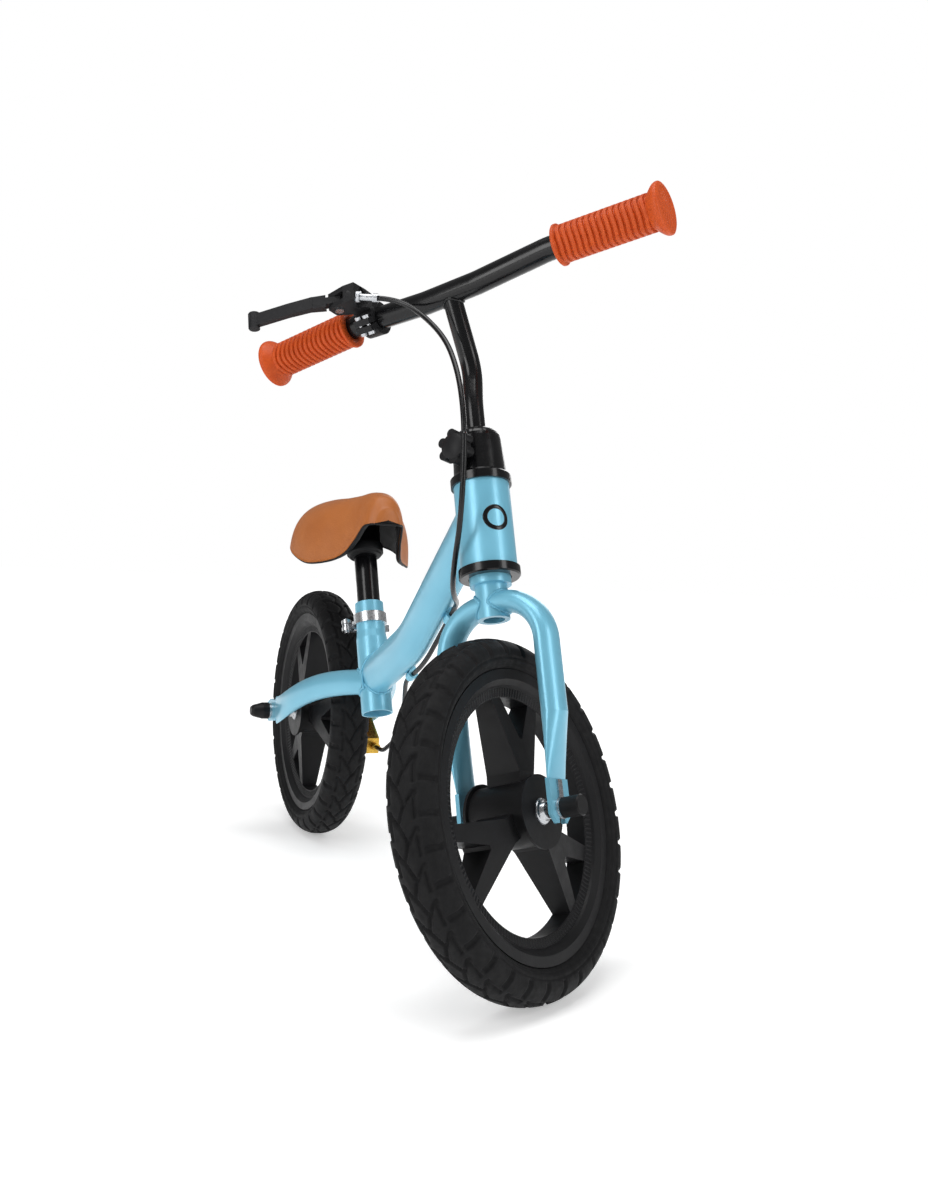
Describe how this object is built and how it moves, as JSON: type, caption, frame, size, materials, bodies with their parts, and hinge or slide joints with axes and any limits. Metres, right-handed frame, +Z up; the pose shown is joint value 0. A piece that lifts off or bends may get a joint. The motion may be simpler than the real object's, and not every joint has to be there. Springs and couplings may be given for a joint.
{
  "type": "balance bike",
  "caption": "Child's balance bike with a curved oval main tube, spoked moulded wheels, foam tyres, telescoping stem and saddle, and a hand lever cabled to a rear band brake.",
  "frame": {"origin": "on the ground, under the middle of the bike's outline as it stands with its bars turned to the rider's right", "axes": "+X forward along the bike, +Y to the rider's left, +Z up"},
  "size_m": [0.8344, 0.3142, 0.6875],
  "materials": {
    "frame_paint": "satin light blue powder paint",
    "black_paint": "gloss black paint",
    "collar_plastic": "polished moulding",
    "knob_plastic": "fine texture",
    "grip_rubber": "soft matte rubber",
    "tyre_foam": "moulded foam",
    "wheel_plastic": "textured moulding",
    "saddle_cover": "stitched synthetic leather",
    "saddle_base": "textured moulding",
    "lever_plastic": "textured moulding",
    "axle_caps": "push-on caps",
    "bright_steel": "bright zinc plate",
    "yellow_zinc": "yellow zinc plate",
    "drum_steel": "machined drum",
    "lining": "moulded friction lining",
    "clamp_alloy": "polished alloy",
    "cable_cover": "extruded vinyl cover"
  },
  "bodies": {
    "frame": {"head_tube": "frame_paint", "down_tube": "frame_paint", "seat_tube": "frame_paint", "chainstay_right": "frame_paint", "chainstay_left": "frame_paint", "cable_stops": "frame_paint", "headset_cup_lower": "black_paint", "headset_cup_upper": "black_paint", "headset_balls": "bright_steel", "rear_axle": "bright_steel", "rear_cones": "bright_steel", "rear_washers": "bright_steel", "rear_axle_nuts": "bright_steel", "rear_axle_caps": "axle_caps", "brake_plate": "yellow_zinc", "brake_band": "yellow_zinc", "brake_lining": "lining", "brake_arm_pin": "bright_steel", "brake_adjuster": "yellow_zinc", "brake_spring": "bright_steel", "seat_clamp": "clamp_alloy", "clamp_skewer": "bright_steel", "cable_lower": "cable_cover", "cable_loop": "cable_cover"},
    "fork": {"fork_steerer": "frame_paint", "fork_leg_left": "frame_paint", "fork_leg_right": "frame_paint", "crown_race": "frame_paint", "front_axle": "bright_steel", "front_cones": "bright_steel", "front_washers": "bright_steel", "front_axle_nuts": "bright_steel", "front_axle_caps": "axle_caps", "stem_collar": "collar_plastic"},
    "front_wheel": {"front_tyre": "tyre_foam", "front_wheel": "wheel_plastic", "front_bearing_rings": "bright_steel", "front_bearing_balls": "bright_steel"},
    "rear_wheel": {"rear_tyre": "tyre_foam", "rear_wheel": "wheel_plastic", "rear_bearing_rings": "bright_steel", "rear_bearing_balls": "bright_steel", "brake_drum": "drum_steel"},
    "knob": {"star_knob": "knob_plastic", "knob_screw": "bright_steel"},
    "bars": {"stem_post": "black_paint", "handlebar": "black_paint", "grip_left": "grip_rubber", "grip_right": "grip_rubber", "lever_perch": "lever_plastic", "perch_bolts": "bright_steel", "lever_pivot": "bright_steel", "cable_adjuster": "bright_steel"},
    "brake_lever": {"brake_lever": "lever_plastic"},
    "brake_arm": {"brake_arm": "yellow_zinc"},
    "seat": {"seat_post": "black_paint", "saddle_base": "saddle_base", "saddle_pad": "saddle_cover"},
    "quick_release": {"quick_release_lever": "clamp_alloy"}
  },
  "joints": [
    {"name": "steering", "type": "hinge", "parent": "frame", "child": "fork", "pos_m": [0.31677, 0.0248, 0.14445], "axis": [-0.3495, 0, 0.9369], "range_deg": [-3, 120], "deforming": ["cable_loop"]},
    {"name": "stem_height", "type": "slide", "parent": "fork", "child": "bars", "axis": [-0.3495, 0, 0.9369], "range_m": [-0.02, 0.05]},
    {"name": "clamp_knob", "type": "hinge", "parent": "fork", "child": "knob", "pos_m": [0.20389, 0.0248, 0.44709], "axis": [0.4882, -0.8536, 0.1821], "range_deg": [0, 540]},
    {"name": "front_wheel_spin", "type": "hinge", "parent": "fork", "child": "front_wheel", "pos_m": [0.31677, 0.0248, 0.14445], "axis": [0.7997, 0.521, 0.2983], "continuous": true},
    {"name": "rear_wheel_spin", "type": "hinge", "parent": "frame", "child": "rear_wheel", "pos_m": [-0.2672, 0.0248, 0.15], "axis": [0, 1, 0], "continuous": true},
    {"name": "brake_lever_pull", "type": "hinge", "parent": "bars", "child": "brake_lever", "pos_m": [0.09459, -0.08209, 0.59309], "axis": [0.3495, 0, -0.9369], "range_deg": [0, 22], "stiffness_Nm_per_rad": 0.8, "springref_deg": -17.19},
    {"name": "brake_arm_pull", "type": "hinge", "parent": "frame", "child": "brake_arm", "pos_m": [-0.22281, 0.071, 0.13858], "axis": [0, -1, 0], "range_deg": [0, 13], "stiffness_Nm_per_rad": 0.3, "springref_deg": -17.19, "deforming": ["brake_spring"]},
    {"name": "seat_height", "type": "slide", "parent": "frame", "child": "seat", "axis": [-0.382, 0, 0.9242], "range_m": [-0.04, 0.045]},
    {"name": "quick_release", "type": "hinge", "parent": "frame", "child": "quick_release", "pos_m": [-0.10178, 0.0048, 0.26836], "axis": [-0.382, 0, 0.9242], "range_deg": [0, 150]}
  ],
  "couplings": [
    {"joint": "brake_arm_pull", "follows": "brake_lever_pull", "ratio": 0.55}
  ]
}
